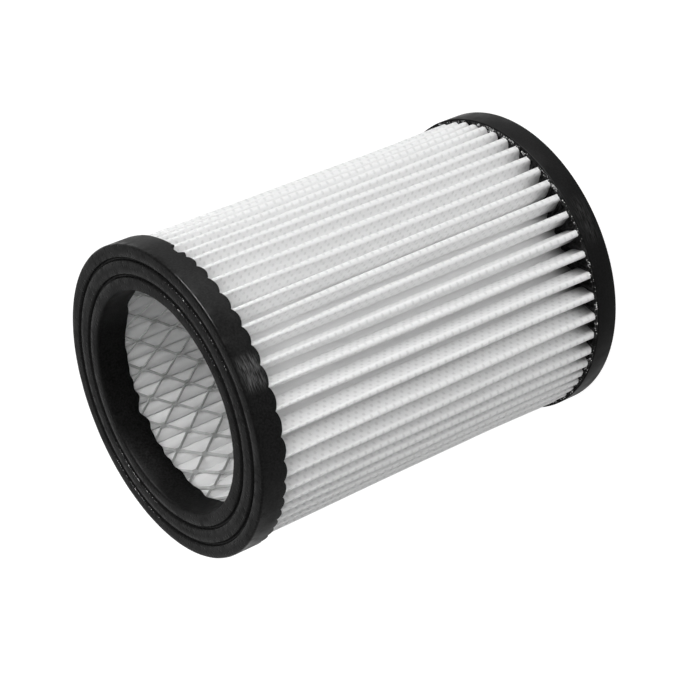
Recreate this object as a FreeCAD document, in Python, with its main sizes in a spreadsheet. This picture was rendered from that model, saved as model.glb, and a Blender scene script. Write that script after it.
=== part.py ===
"""Cartridge filter for a small wet and dry vacuum cleaner.

One strip of embossed nonwoven is folded into a ring of pleats around a tube of expanded metal.
Both ends of the ring are cast into black polyurethane caps: an open ring with two sealing
grooves at the front, and a closed disc at the rear. The filter stands on its closed end, with
its axis along +Z and the open end on top. All sizes are in millimetres.
"""
import FreeCAD
import Part
import Sketcher
import math
import os

# Driving sizes, one cell each. Sizes named radius, wall or gap are measured along a radius.
# The root share is the part of the pitch that the broad fold at a root takes up.
SIZES = {
    "overall_height": 125.0,
    "cap_diameter": 90.0,
    "bore_diameter": 64.0,
    "front_cap_height": 8.6,
    "rear_cap_height": 8.0,
    "end_wall": 2.6,
    "edge_chamfer": 0.7,
    "groove_width": 1.2,
    "groove_depth": 1.0,
    "scallop_width": 3.6,
    "scallop_depth": 1.1,
    "rim_wall": 1.3,
    "pleat_count": 48,
    "media_thickness": 0.6,
    "fold_crown": 0.9,
    "root_share": 0.55,
    "fold_gap": 0.3,
    "bore_skin": 0.5,
    "tube_wall": 0.7,
    "cell_columns": 12,
    "cell_rows": 4,
    "strand_width": 1.2,
}

# Sizes that follow from the cells.
CAP_RADIUS = "Sizes.cap_diameter / 2"
BORE_RADIUS = "Sizes.bore_diameter / 2"
TOP = "Sizes.overall_height"
FRONT_EDGE = "(Sizes.overall_height - Sizes.front_cap_height)"
REAR_EDGE = "Sizes.rear_cap_height"
PACK_BOTTOM = "Sizes.end_wall"
PACK_LENGTH = "(Sizes.overall_height - 2 * Sizes.end_wall)"

# The grooves part the front face into lands of one width.
GROOVE_COUNT = 2
LAND = (f"(({CAP_RADIUS} - {BORE_RADIUS} - {GROOVE_COUNT} * Sizes.groove_width)"
        f" / {GROOVE_COUNT + 1})")

FOLD_RADIUS = f"({CAP_RADIUS} - Sizes.rim_wall)"
TUBE_INNER = f"({BORE_RADIUS} + Sizes.bore_skin)"
TUBE_OUTER = f"({TUBE_INNER} + Sizes.tube_wall)"
ROOT_RADIUS = f"({TUBE_OUTER} + Sizes.fold_gap)"
HALF_PITCH = "(180 / Sizes.pleat_count)"
HALF_ROOT = f"(Sizes.root_share * {ROOT_RADIUS} * sin({HALF_PITCH}))"

# One cell of the expanded metal: half its width and height, and how much of it is open.
CELL_ANGLE = "(180 / Sizes.cell_columns)"
CELL_HALF_WIDTH = f"({TUBE_OUTER} * sin({CELL_ANGLE}))"
CELL_PITCH = f"(({FRONT_EDGE} - {REAR_EDGE}) / Sizes.cell_rows)"
CELL_HALF_HEIGHT = f"({CELL_PITCH} / 2)"
CELL_OPEN = (f"(1 - Sizes.strand_width / 2 * sqrt(1 / {CELL_HALF_WIDTH} ^ 2"
             f" + 1 / {CELL_HALF_HEIGHT} ^ 2))")

# A sketch's names for the two ends of a line, and for its own axes.
START, END = 1, 2
H_AXIS, V_AXIS = -1, -2

FULL_TURN = 360


def make_sheet(doc):
    """Write each driving size to a cell of its own, with its name as the alias."""
    sheet = doc.addObject("Spreadsheet::Sheet", "Sizes")
    for row, (name, value) in enumerate(SIZES.items(), start=1):
        sheet.set(f"A{row}", name)
        sheet.set(f"B{row}", str(value))
        sheet.setAlias(f"B{row}", name)
    doc.recompute()
    return sheet


def origin_part(body, role):
    """Return the origin plane or axis of a body that has this role."""
    return next(part for part in body.Origin.OriginFeatures if part.Role == role)


def number(sheet, expression):
    """Return the plain value of an expression on the sheet's cells."""
    return float(sheet.evalExpression(expression))


def add_sketch(body, name, plane):
    """Add an empty sketch on one of the body's own origin planes."""
    sketch = body.newObject("Sketcher::SketchObject", name)
    sketch.AttachmentSupport = [(origin_part(body, plane), "")]
    sketch.MapMode = "FlatFace"
    return sketch


def bind_constraint(sketch, constraint, name, expression):
    """Add a constraint with a value and tie that value to the sheet."""
    index = sketch.addConstraint(constraint)
    sketch.renameConstraint(index, name)
    sketch.setExpression(f"Constraints.{name}", expression)


def add_outline(sheet, body, name, plane, corners):
    """Add a sketch of one closed outline, each corner placed by two expressions."""
    sketch = add_sketch(body, name, plane)
    places = [FreeCAD.Vector(number(sheet, x), number(sheet, y), 0) for x, y in corners]
    count = len(places)
    for i in range(count):
        sketch.addGeometry(Part.LineSegment(places[i], places[(i + 1) % count]), False)
    for i in range(count):
        sketch.addConstraint(Sketcher.Constraint("Coincident", i, END, (i + 1) % count, START))
    for i, (x, y) in enumerate(corners):
        if x == "0":
            sketch.addConstraint(Sketcher.Constraint("PointOnObject", i, START, V_AXIS))
        else:
            across = Sketcher.Constraint("DistanceX", i, START, places[i].x)
            bind_constraint(sketch, across, f"across_{i}", x)
        if y == "0":
            sketch.addConstraint(Sketcher.Constraint("PointOnObject", i, START, H_AXIS))
        else:
            along = Sketcher.Constraint("DistanceY", i, START, places[i].y)
            bind_constraint(sketch, along, f"along_{i}", y)
    return sketch


def add_revolution(body, name, sketch):
    """Turn a sketch on the XZ plane once around the filter's axis."""
    turned = body.newObject("PartDesign::Revolution", name)
    turned.Profile = sketch
    turned.ReferenceAxis = (sketch, ["V_Axis"])
    turned.Angle = FULL_TURN
    return turned


def add_pad(body, name, sketch, length):
    """Pad a sketch along its normal."""
    pad = body.newObject("PartDesign::Pad", name)
    pad.Profile = sketch
    pad.setExpression("Length", length)
    return pad


def add_radial_pocket(body, name, sketch):
    """Cut a sketch on the YZ plane outwards through the wall on the +X side."""
    pocket = body.newObject("PartDesign::Pocket", name)
    pocket.Profile = sketch
    pocket.Type = "ThroughAll"
    pocket.Reversed = True
    return pocket


def add_row(body, name, feature, length, count):
    """Repeat a feature along the filter's axis."""
    row = body.newObject("PartDesign::LinearPattern", name)
    row.Originals = [feature]
    row.Direction = (origin_part(body, "Z_Axis"), [""])
    row.setExpression("Length", length)
    row.setExpression("Occurrences", count)
    body.Tip = row
    return row


def add_ring(body, name, feature, count):
    """Repeat a feature around the filter's axis."""
    ring = body.newObject("PartDesign::PolarPattern", name)
    ring.Originals = [feature]
    ring.Axis = (origin_part(body, "Z_Axis"), [""])
    ring.Angle = FULL_TURN
    ring.setExpression("Occurrences", count)
    body.Tip = ring
    return ring


def add_pleat_sketch(sheet, body, name):
    """Draw one pleat from root to root: a narrow fold outside, half of a broad fold at each root."""
    sketch = add_sketch(body, name, "XY_Plane")
    sketch.setExpression("AttachmentOffset.Base.z", PACK_BOTTOM)

    # First guess of the corners, which the constraints below then hold.
    crown = number(sheet, "Sizes.fold_crown")
    half_root = number(sheet, HALF_ROOT)
    thickness = number(sheet, "Sizes.media_thickness")
    half_pitch = math.radians(number(sheet, HALF_PITCH))
    ray = FreeCAD.Vector(math.cos(half_pitch), math.sin(half_pitch), 0)
    toward_fold = FreeCAD.Vector(ray.y, -ray.x, 0)
    fold = FreeCAD.Vector(number(sheet, FOLD_RADIUS), crown / 2, 0)
    seam_inner = ray * number(sheet, ROOT_RADIUS)
    root = seam_inner + toward_fold * half_root
    slant = root - fold
    lean = math.asin(thickness / slant.Length)
    flank = FreeCAD.Rotation(FreeCAD.Vector(0, 0, 1), -math.degrees(lean)).multVec(slant)
    flank.normalize()
    seam_outer = seam_inner + ray * thickness
    valley = fold + flank * ((seam_outer - fold).dot(ray) / flank.dot(ray))
    fold_inside = root - flank * (root.y / flank.y)

    upper = [fold, valley, seam_outer, seam_inner, root]
    lower = [FreeCAD.Vector(corner.x, -corner.y, 0) for corner in reversed(upper)]
    corners = [lower[-1]] + upper + [fold_inside] + lower[:-1]
    count = len(corners)
    for i in range(count):
        sketch.addGeometry(Part.LineSegment(corners[i], corners[(i + 1) % count]), False)
    for i in range(count):
        sketch.addConstraint(Sketcher.Constraint("Coincident", i, END, (i + 1) % count, START))
    crown_line, outer_flank, floor, seam, root_line, inner_flank = range(6)
    low_flank, low_root, low_seam, low_floor = range(6, 10)
    ray_line = sketch.addGeometry(Part.LineSegment(FreeCAD.Vector(), seam_inner), True)

    for constraint in (
        Sketcher.Constraint("Symmetric", crown_line, START, crown_line, END, H_AXIS),
        Sketcher.Constraint("Coincident", ray_line, START, H_AXIS, START),
        Sketcher.Constraint("Coincident", ray_line, END, seam, END),
        Sketcher.Constraint("PointOnObject", floor, END, ray_line),
        Sketcher.Constraint("Perpendicular", floor, ray_line),
        Sketcher.Constraint("Perpendicular", root_line, ray_line),
        Sketcher.Constraint("Parallel", outer_flank, inner_flank),
        Sketcher.Constraint("PointOnObject", inner_flank, END, H_AXIS),
        Sketcher.Constraint("Symmetric", outer_flank, END, low_floor, END, H_AXIS),
        Sketcher.Constraint("Symmetric", floor, END, low_seam, END, H_AXIS),
        Sketcher.Constraint("Symmetric", seam, END, low_root, END, H_AXIS),
        Sketcher.Constraint("Symmetric", root_line, END, low_flank, END, H_AXIS),
    ):
        sketch.addConstraint(constraint)
    sized = {
        "fold_radius": (Sketcher.Constraint("DistanceX", crown_line, END, fold.x), FOLD_RADIUS),
        "fold_crown": (Sketcher.Constraint("Distance", crown_line, crown), "Sizes.fold_crown"),
        "half_pitch": (Sketcher.Constraint("Angle", ray_line, half_pitch), HALF_PITCH),
        "root_radius": (Sketcher.Constraint("Distance", ray_line, seam_inner.Length), ROOT_RADIUS),
        "half_root": (Sketcher.Constraint("Distance", root_line, half_root), HALF_ROOT),
        "thickness": (Sketcher.Constraint("Distance", root_line, END, outer_flank, thickness),
                      "Sizes.media_thickness"),
        "floor_thickness": (Sketcher.Constraint("Distance", seam, thickness),
                            "Sizes.media_thickness"),
    }
    for label, (constraint, expression) in sized.items():
        bind_constraint(sketch, constraint, label, expression)
    return sketch


def make_media(doc, sheet):
    """One strip folded into a ring of pleats, its two ends joined at a root."""
    body = doc.addObject("PartDesign::Body", "pleated_media")
    sketch = add_pleat_sketch(sheet, body, "pleat_outline")
    pleat = add_pad(body, "pleat", sketch, PACK_LENGTH)
    add_ring(body, "pleats", pleat, "Sizes.pleat_count")
    return body


def make_tube(doc, sheet):
    """Expanded metal rolled into a tube: staggered cells, and a plain band cast into each cap.

    One column of cells is made as a bent strip, with half of each neighbouring cell at its
    sides, and the strip is repeated around the axis.
    """
    body = doc.addObject("PartDesign::Body", "support_tube")

    # The strip is bent at the middle of its cells, and it ends at the middle of their neighbours.
    strip_corners = [
        (f"{TUBE_OUTER} * cos({CELL_ANGLE})", f"-{TUBE_OUTER} * sin({CELL_ANGLE})"),
        (TUBE_OUTER, "0"),
        (f"{TUBE_OUTER} * cos({CELL_ANGLE})", f"{TUBE_OUTER} * sin({CELL_ANGLE})"),
        (f"{TUBE_INNER} * cos({CELL_ANGLE})", f"{TUBE_INNER} * sin({CELL_ANGLE})"),
        (TUBE_INNER, "0"),
        (f"{TUBE_INNER} * cos({CELL_ANGLE})", f"-{TUBE_INNER} * sin({CELL_ANGLE})"),
    ]
    strip_sketch = add_outline(sheet, body, "strip_outline", "XY_Plane", strip_corners)
    strip_sketch.setExpression("AttachmentOffset.Base.z", PACK_BOTTOM)
    add_pad(body, "strip", strip_sketch, PACK_LENGTH)

    open_width = f"{CELL_HALF_WIDTH} * {CELL_OPEN}"
    open_height = f"{CELL_HALF_HEIGHT} * {CELL_OPEN}"
    first_cell = f"({REAR_EDGE} + {CELL_HALF_HEIGHT})"
    cell_corners = [
        (open_width, first_cell),
        ("0", f"{first_cell} + {open_height}"),
        (f"-{open_width}", first_cell),
        ("0", f"{first_cell} - {open_height}"),
    ]
    cell_sketch = add_outline(sheet, body, "cell_outline", "YZ_Plane", cell_corners)
    cell = add_radial_pocket(body, "cell", cell_sketch)
    rows_length = f"{CELL_PITCH} * (Sizes.cell_rows - 1)"
    add_row(body, "cells", cell, rows_length, "Sizes.cell_rows")

    # The neighbours sit half a cell lower, and their outlines run on past the edge of the strip.
    for side, sign in (("left", "-"), ("right", "")):
        tip = f"{sign}({CELL_HALF_WIDTH} - {open_width})"
        far = f"{sign}({CELL_HALF_WIDTH} + {open_width})"
        middle = f"{sign}{CELL_HALF_WIDTH}"
        half_corners = [
            (tip, REAR_EDGE),
            (middle, f"{REAR_EDGE} + {open_height}"),
            (far, REAR_EDGE),
            (middle, f"{REAR_EDGE} - {open_height}"),
        ]
        half_sketch = add_outline(sheet, body, f"{side}_outline", "YZ_Plane", half_corners)
        half = add_radial_pocket(body, f"{side}_half", half_sketch)
        column_length = f"{CELL_PITCH} * Sizes.cell_rows"
        add_row(body, f"{side}_halves", half, column_length, "Sizes.cell_rows + 1")

    bands = {
        "rear_band": (PACK_BOTTOM, f"{REAR_EDGE} - {PACK_BOTTOM}"),
        "front_band": (FRONT_EDGE, "Sizes.front_cap_height - Sizes.end_wall"),
    }
    for name, (bottom, length) in bands.items():
        band_sketch = add_outline(sheet, body, f"{name}_outline", "XY_Plane", strip_corners)
        band_sketch.setExpression("AttachmentOffset.Base.z", bottom)
        add_pad(body, name, band_sketch, length)

    doc.recompute()
    ring = body.newObject("PartDesign::PolarPattern", "columns")
    ring.TransformMode = "Whole shape"
    ring.Axis = (origin_part(body, "Z_Axis"), [""])
    ring.Angle = FULL_TURN
    ring.setExpression("Occurrences", "Sizes.cell_columns")
    body.Tip = ring
    return body


def make_front_blank(doc, sheet):
    """Front cap before it is cast round the pack: a ring with two V grooves and a scalloped edge."""
    body = doc.addObject("PartDesign::Body", "front_cap_blank")
    chamfer = "Sizes.edge_chamfer"
    groove_floor = f"{TOP} - Sizes.groove_depth"
    corners = [(BORE_RADIUS, FRONT_EDGE), (CAP_RADIUS, FRONT_EDGE)]
    corners += [(CAP_RADIUS, f"{TOP} - {chamfer}"), (f"{CAP_RADIUS} - {chamfer}", TOP)]
    land_edge = CAP_RADIUS
    for _ in range(GROOVE_COUNT):
        groove_outer = f"{land_edge} - {LAND}"
        groove_inner = f"{groove_outer} - Sizes.groove_width"
        groove_middle = f"{groove_outer} - Sizes.groove_width / 2"
        corners += [(groove_outer, TOP), (groove_middle, groove_floor), (groove_inner, TOP)]
        land_edge = groove_inner
    corners += [(f"{BORE_RADIUS} + {chamfer}", TOP), (BORE_RADIUS, f"{TOP} - {chamfer}")]
    profile = add_outline(sheet, body, "front_profile", "XZ_Plane", corners)
    add_revolution(body, "front_ring", profile)

    # The poured edge draws back at each fold, so a notch there leaves a lobe between two folds.
    half_width = "Sizes.scallop_width / 2"
    notch_corners = [
        (f"-{half_width}", FRONT_EDGE),
        (half_width, FRONT_EDGE),
        ("0", f"{FRONT_EDGE} + Sizes.scallop_depth"),
    ]
    notch_sketch = add_outline(sheet, body, "notch_outline", "YZ_Plane", notch_corners)
    notch_sketch.setExpression("AttachmentOffset.Base.z", FOLD_RADIUS)
    notch = add_radial_pocket(body, "notch", notch_sketch)
    add_ring(body, "scallops", notch, "Sizes.pleat_count")
    return body


def make_rear_blank(doc, sheet):
    """Rear cap before it is cast round the pack: a closed disc, level inside and out."""
    body = doc.addObject("PartDesign::Body", "rear_cap_blank")
    chamfer = "Sizes.edge_chamfer"
    corners = [
        ("0", "0"),
        (f"{CAP_RADIUS} - {chamfer}", "0"),
        (CAP_RADIUS, chamfer),
        (CAP_RADIUS, REAR_EDGE),
        ("0", REAR_EDGE),
    ]
    profile = add_outline(sheet, body, "rear_profile", "XZ_Plane", corners)
    add_revolution(body, "rear_disc", profile)
    return body


def cast_round(doc, name, blank, pack):
    """Take the ends of the pleats and of the tube out of a cap, so that it fits round them."""
    cap = doc.addObject("Part::Cut", name)
    cap.Base = blank
    cap.Tool = pack
    return cap


def check(doc, parts):
    """Stop if a feature failed to build, or if a sub-part is not one valid solid."""
    for item in doc.Objects:
        if {"Invalid", "Error"} & set(item.State):
            raise RuntimeError(f"{item.Label} failed: {item.getStatusString()}")
    for item in parts:
        shape = item.Shape
        if shape.isNull() or not shape.isValid() or len(shape.Solids) != 1:
            raise RuntimeError(f"{item.Label} is not one valid solid")


def main():
    """Build the document, check it and write one file for each sub-part."""
    doc = FreeCAD.newDocument("cartridge_filter")
    sheet = make_sheet(doc)
    media = make_media(doc, sheet)
    tube = make_tube(doc, sheet)
    pack = doc.addObject("Part::Compound", "filter_pack")
    pack.Links = [media, tube]
    front = cast_round(doc, "front_end_cap", make_front_blank(doc, sheet), pack)
    rear = cast_round(doc, "rear_end_cap", make_rear_blank(doc, sheet), pack)
    doc.recompute()

    parts = [front, rear, media, tube]
    check(doc, parts)
    os.makedirs("parts", exist_ok=True)
    for item in parts:
        item.Shape.exportStep(f"parts/{item.Label}.step")
        print(f"{item.Label}: {item.Shape.Volume:.0f} cubic mm")


main()
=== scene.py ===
"""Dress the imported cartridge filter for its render.

A folded nonwoven pack stands in two cast urethane end caps, round a core of expanded steel.
Meshes are drawn in millimetres and scaled to metres when a piece is finished.
The axis is Z: the closed rear cap stands on the floor and the open front cap is at the top.
"""

from __future__ import annotations

import logging
import math
from collections.abc import Callable
from dataclasses import dataclass, field
from enum import Enum
from functools import partial
from itertools import accumulate
from random import Random
from typing import Protocol

import bmesh
import bpy
from mathutils import Matrix, Vector, noise

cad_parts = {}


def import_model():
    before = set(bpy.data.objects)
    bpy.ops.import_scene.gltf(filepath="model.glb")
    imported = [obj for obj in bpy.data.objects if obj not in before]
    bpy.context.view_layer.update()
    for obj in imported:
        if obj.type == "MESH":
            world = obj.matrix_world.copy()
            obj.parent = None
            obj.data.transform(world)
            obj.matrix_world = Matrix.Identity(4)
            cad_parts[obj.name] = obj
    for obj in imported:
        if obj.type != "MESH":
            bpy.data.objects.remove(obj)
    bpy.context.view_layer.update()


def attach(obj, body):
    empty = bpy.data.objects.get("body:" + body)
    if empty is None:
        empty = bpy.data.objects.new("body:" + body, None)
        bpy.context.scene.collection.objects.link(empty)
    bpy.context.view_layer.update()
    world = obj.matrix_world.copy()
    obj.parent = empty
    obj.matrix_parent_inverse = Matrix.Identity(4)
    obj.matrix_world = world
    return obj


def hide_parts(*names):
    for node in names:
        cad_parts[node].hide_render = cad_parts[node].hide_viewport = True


LOG = logging.getLogger("cartridge_filter")
MM = 0.001
# Two points that are closer than this, in millimetres, are one
SAME_POINT = 1e-3
# Settings of a node that mixes numbers, and of one that mixes colours
NUMBERS = {"data_type": "FLOAT"}
COLOURS = {"data_type": "RGBA"}
WHITE = "#ffffff"
# What a turn about the part's axis is told
ORIGIN = (0.0, 0.0, 0.0)
ABOUT_Z = {"cent": ORIGIN, "axis": (0.0, 0.0, 1.0)}


class Slot(Enum):
    """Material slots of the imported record."""

    URETHANE = "black_urethane"
    NONWOVEN = "white_nonwoven"
    STEEL = "expanded_steel"


class Zone(Enum):
    """Attributes that say where a casting or the cloth has a special skin, a stain, painted light or
    painted shade.
    """

    LAND = "open_land"
    FLASH = "wet_flash"
    PAINTED_LIGHT = "painted_light_zone"
    STAIN_AND_SHADE = "pour_stain_and_shade"
    EMBOSS = "embossed_side"


class Reach(Enum):
    """What a lamp is for: the matt light on the surfaces, or the shine on them."""

    MATT = "diffuse"
    SHINE = "glossy"


class Swing(Enum):
    """Which neighbour a strand of the core leans to at the first row of bonds."""

    FORWARD = 1
    BACK = -1


def linear(code: str) -> tuple[float, float, float, float]:
    """Turn an sRGB hex colour into a linear one.

    Args:
        code: Six hex digits with a leading number sign.

    Returns:
        Red, green, blue and an alpha of 1.
    """
    parts = [int(code[i : i + 2], 16) / 255 for i in (1, 3, 5)]
    red, green, blue = (p / 12.92 if p <= 0.04045 else ((p + 0.055) / 1.055) ** 2.4 for p in parts)
    return red, green, blue, 1.0


def fineness(size_mm: float) -> float:
    """Turn the real size of a pattern into its scale for each metre."""
    return 1 / (size_mm * MM)


def add_node(
    tree: bpy.types.NodeTree,
    kind: str,
    inputs: dict[str | int, object] | None = None,
    settings: dict[str, object] | None = None,
) -> bpy.types.Node:
    """Add one node with its settings, its fixed inputs and its links.

    Args:
        tree: Node tree that gets the node.
        kind: Blender's name of the node type, without the word ShaderNode before it.
        inputs: Sockets by name or number, each with a node or an output to link, a hex colour
            or another value to set.
        settings: Properties of the node.

    Returns:
        The new node.
    """
    node = tree.nodes.new("ShaderNode" + kind)
    for name, value in (settings or {}).items():
        setattr(node, name, value)
    for name, value in (inputs or {}).items():
        if isinstance(value, bpy.types.Node):
            value = next(socket for socket in value.outputs if socket.enabled)
        if isinstance(value, bpy.types.NodeSocket):
            tree.links.new(value, node.inputs[name])
        else:
            node.inputs[name].default_value = linear(value) if isinstance(value, str) else value
    return node


def new_material(name: str) -> tuple[bpy.types.Material, Callable[..., bpy.types.Node]]:
    """Start a material with an empty node tree.

    Args:
        name: Name of the real material.

    Returns:
        The empty material, and a function that adds a node to it.
    """
    material = bpy.data.materials.new(name)
    material.use_nodes = True
    material.node_tree.nodes.clear()
    return material, partial(add_node, material.node_tree)


def eye_rays(tree: bpy.types.NodeTree) -> bpy.types.Node:
    """Tell the rays that show the studio itself from the light that falls on the part.

    Args:
        tree: Node tree of the paper or of the world.

    Returns:
        A node with 1 for a ray from the eye, straight, mirrored or through something clear.
    """
    rays = add_node(tree, "LightPath").outputs
    seen = rays["Is Camera Ray"]
    for name in ("Is Glossy Ray", "Is Transmission Ray"):
        joined = {"operation": "ADD", "use_clamp": True}
        seen = add_node(tree, "Math", {0: seen, 1: rays[name]}, joined)
    return seen


def blend01(value: float, low: float, high: float) -> float:
    """Rise smoothly from 0 at low to 1 at high.

    Args:
        value: Place to read.
        low: Where the rise starts.
        high: Where it ends; it may be below low.

    Returns:
        A share from 0 to 1.
    """
    share = min(max((value - low) / (high - low), 0.0), 1.0)
    return share * share * (3.0 - 2.0 * share)


class Finish(Protocol):
    """What every finish can do."""

    def material(self) -> bpy.types.Material:
        """Build the finish as a material."""


def make_piece(
    bm: bmesh.types.BMesh,
    name: str,
    sharp_deg: float,
    finish: Finish,
    slot: Slot | None = None,
    node: str | None = None,
) -> bpy.types.Object:
    """Finish a mesh that was drawn in millimetres as a piece of the scene.

    Args:
        bm: Mesh in millimetres; it is freed.
        name: Name of the piece.
        sharp_deg: Edges steeper than this stay crisp.
        finish: What it is made of.
        slot: Slot of the record that the finish stands for, on a piece of the part.
        node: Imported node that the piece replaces, if there is one.

    Returns:
        The object, at the origin and in metres.
    """
    bmesh.ops.scale(bm, vec=(MM, MM, MM), verts=bm.verts[:])
    mesh = bpy.data.meshes.new(name)
    bm.to_mesh(mesh)
    bm.free()
    mesh.shade_smooth()
    mesh.set_sharp_from_angle(angle=math.radians(sharp_deg))
    mesh.materials.append(finish.material())
    piece = bpy.data.objects.new(name, mesh)
    bpy.context.scene.collection.objects.link(piece)
    if slot:
        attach(piece, "root")
        if node:
            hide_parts(node)
    return piece


@dataclass(frozen=True)
class Corner:
    """One corner of a turned section."""

    radius: float
    height: float
    rounding: float = 0.0


def turn_section(corners: list[Corner], steps: int) -> bmesh.types.BMesh:
    """Round the corners of a half section and turn it about the axis.

    Args:
        corners: The section in order, closed from the last corner to the first.
        steps: Number of steps in the full turn.

    Returns:
        The closed ring or disc, with its normals outwards.
    """
    bm = bmesh.new()
    verts = [bm.verts.new((c.radius, 0.0, c.height)) for c in corners]
    bm.faces.new(verts)
    for size in sorted({c.rounding for c in corners if c.rounding > 0}):
        chosen = [v for v, c in zip(verts, corners) if c.rounding == size]
        arc = {"segments": 4, "profile": 0.5, "material": -1}
        bmesh.ops.bevel(bm, geom=chosen, offset=size, affect="VERTICES", **arc)
    bmesh.ops.delete(bm, geom=bm.faces[:], context="FACES_ONLY")
    on_axis = [e for e in bm.edges if all(v.co.x < 1e-5 for v in e.verts)]
    bmesh.ops.delete(bm, geom=on_axis, context="EDGES")
    outline = bm.verts[:] + bm.edges[:]
    bmesh.ops.spin(bm, geom=outline, angle=math.tau, steps=steps, use_merge=True, **ABOUT_Z)
    bmesh.ops.remove_doubles(bm, verts=bm.verts[:], dist=SAME_POINT)
    bmesh.ops.recalc_face_normals(bm, faces=bm.faces[:])
    return bm


# Finishes


@dataclass(frozen=True)
class CastUrethane:
    """Black urethane foam, cast in an open mould: dull skin, grainy lands and shiny edges."""

    name: str = "cast_urethane_black"
    deep: str = "#070707"
    worn: str = "#1a1a1a"
    chalky: str = "#171717"
    # Pale colour of the painted highlights on the rims and of the painted light on the rear pour
    painted_light: str = "#626262"
    # The real grain is finer; it is drawn coarse enough to be seen at the photo's distance
    grain_mm: float = 0.55
    grain_depth_mm: float = 0.08
    pinhole_mm: float = 1.35
    pinhole_depth_mm: float = 0.1
    flow_mm: float = 7.0
    streak_mm: tuple[float, float, float] = (2.6, 2.6, 0.3)
    # Roughness of the skin where the pour flowed, where it stood and at the sharp edges
    smooth: float = 0.36
    dull: float = 0.58
    shiny: float = 0.22

    def material(self) -> bpy.types.Material:
        """Build the material from grain, pinholes, flow marks and streaked patches of painted light.

        Returns:
            The material; the zones of a casting tell where its skin differs.
        """
        material, add = new_material(self.name)
        place = add("TexCoord").outputs["Object"]
        land, flash, painted_light_mask = (
            add("Attribute", settings={"attribute_name": zone.value}).outputs["Fac"]
            for zone in (Zone.LAND, Zone.FLASH, Zone.PAINTED_LIGHT)
        )
        # Flow marks from the pour change the gloss from patch to patch
        flow = add("TexNoise", {"Vector": place, "Scale": fineness(self.flow_mm), "Detail": 3.0})
        grain = add("TexNoise", {"Vector": place, "Scale": fineness(self.grain_mm), "Detail": 2.0})
        # Small bubbles burst at the face of the lands and leave dark pinholes
        cells = add("TexVoronoi", {"Vector": place, "Scale": fineness(self.pinhole_mm)})
        open_skin = add("MapRange", {"Value": cells, "From Min": 0.2, "From Max": 0.32})
        skin = add("Mix", {"Factor": land, "A": 1.0, "B": open_skin}, NUMBERS)
        spread = add("MapRange", {"Value": grain, "From Min": 0.32, "From Max": 0.68})
        tone = add("Math", {0: spread, 1: skin}, {"operation": "MULTIPLY"})
        light = add("Mix", {"Factor": land, "A": self.worn, "B": self.chalky}, COLOURS)
        plain = add("Mix", {"Factor": tone, "A": self.deep, "B": light}, COLOURS)
        # Painted light in fine pale streaks: a painted highlight on the rims, and a lighter rear
        # pour that stands in for light thrown on it by the folds
        stretch = tuple(fineness(size) for size in self.streak_mm)
        stretched = add("VectorMath", {0: place, 1: stretch}, {"operation": "MULTIPLY"})
        lines = add("TexNoise", {"Vector": stretched, "Scale": 1.0, "Detail": 4.0})
        painted_streaks = add(
            "MapRange", {"Value": lines, "From Min": 0.4, "From Max": 0.66, "To Max": painted_light_mask}
        )
        colour = add("Mix", {"Factor": painted_streaks, "A": plain, "B": self.painted_light}, COLOURS)
        flowed = {"From Min": 0.3, "From Max": 0.7, "To Min": self.smooth, "To Max": self.dull}
        dull = add("MapRange", {"Value": flow, **flowed})
        gloss = add("Mix", {"Factor": flash, "A": dull, "B": self.shiny}, NUMBERS)
        rough = add("MapRange", {"Value": land, "To Min": 0.25, "To Max": 0.8})
        depth = self.grain_depth_mm * MM
        grained = add("Bump", {"Strength": rough, "Distance": depth, "Height": grain})
        depth = self.pinhole_depth_mm * MM
        pitted = add(
            "Bump", {"Strength": 0.6, "Distance": depth, "Height": skin, "Normal": grained}
        )
        face = {"Roughness": gloss, "IOR": 1.5, "Specular IOR Level": 0.05, "Normal": pitted}
        shader = add("BsdfPrincipled", {"Base Color": colour, **face})
        add("OutputMaterial", {"Surface": shader})
        return material


@dataclass(frozen=True)
class WetUrethane:
    """Beads of the same urethane that cured in the open: a wet shine on black."""

    deep: str = "#0c0c0c"
    painted_glint: str = "#c8c8c8"
    mottle_mm: float = 0.7

    def material(self) -> bpy.types.Material:
        """Build the material: a clear shine, with some beads painted pale as a painted glint.

        Returns:
            The material.
        """
        material, add = new_material("wet_urethane_black")
        place = add("TexCoord").outputs["Object"]
        mottle = add("TexNoise", {"Vector": place, "Scale": fineness(self.mottle_mm), "Detail": 1.0})
        # Pale beads are a painted glint on the flash
        glint_share = add("MapRange", {"Value": mottle, "From Min": 0.47, "From Max": 0.62})
        colour = add("Mix", {"Factor": glint_share, "A": self.deep, "B": self.painted_glint}, COLOURS)
        gloss = add("MapRange", {"Value": mottle, "To Min": 0.08, "To Max": 0.3})
        wet = {"IOR": 1.5, "Specular IOR Level": 1.0}
        shader = add("BsdfPrincipled", {"Base Color": colour, "Roughness": gloss, **wet})
        add("OutputMaterial", {"Surface": shader})
        return material


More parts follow.
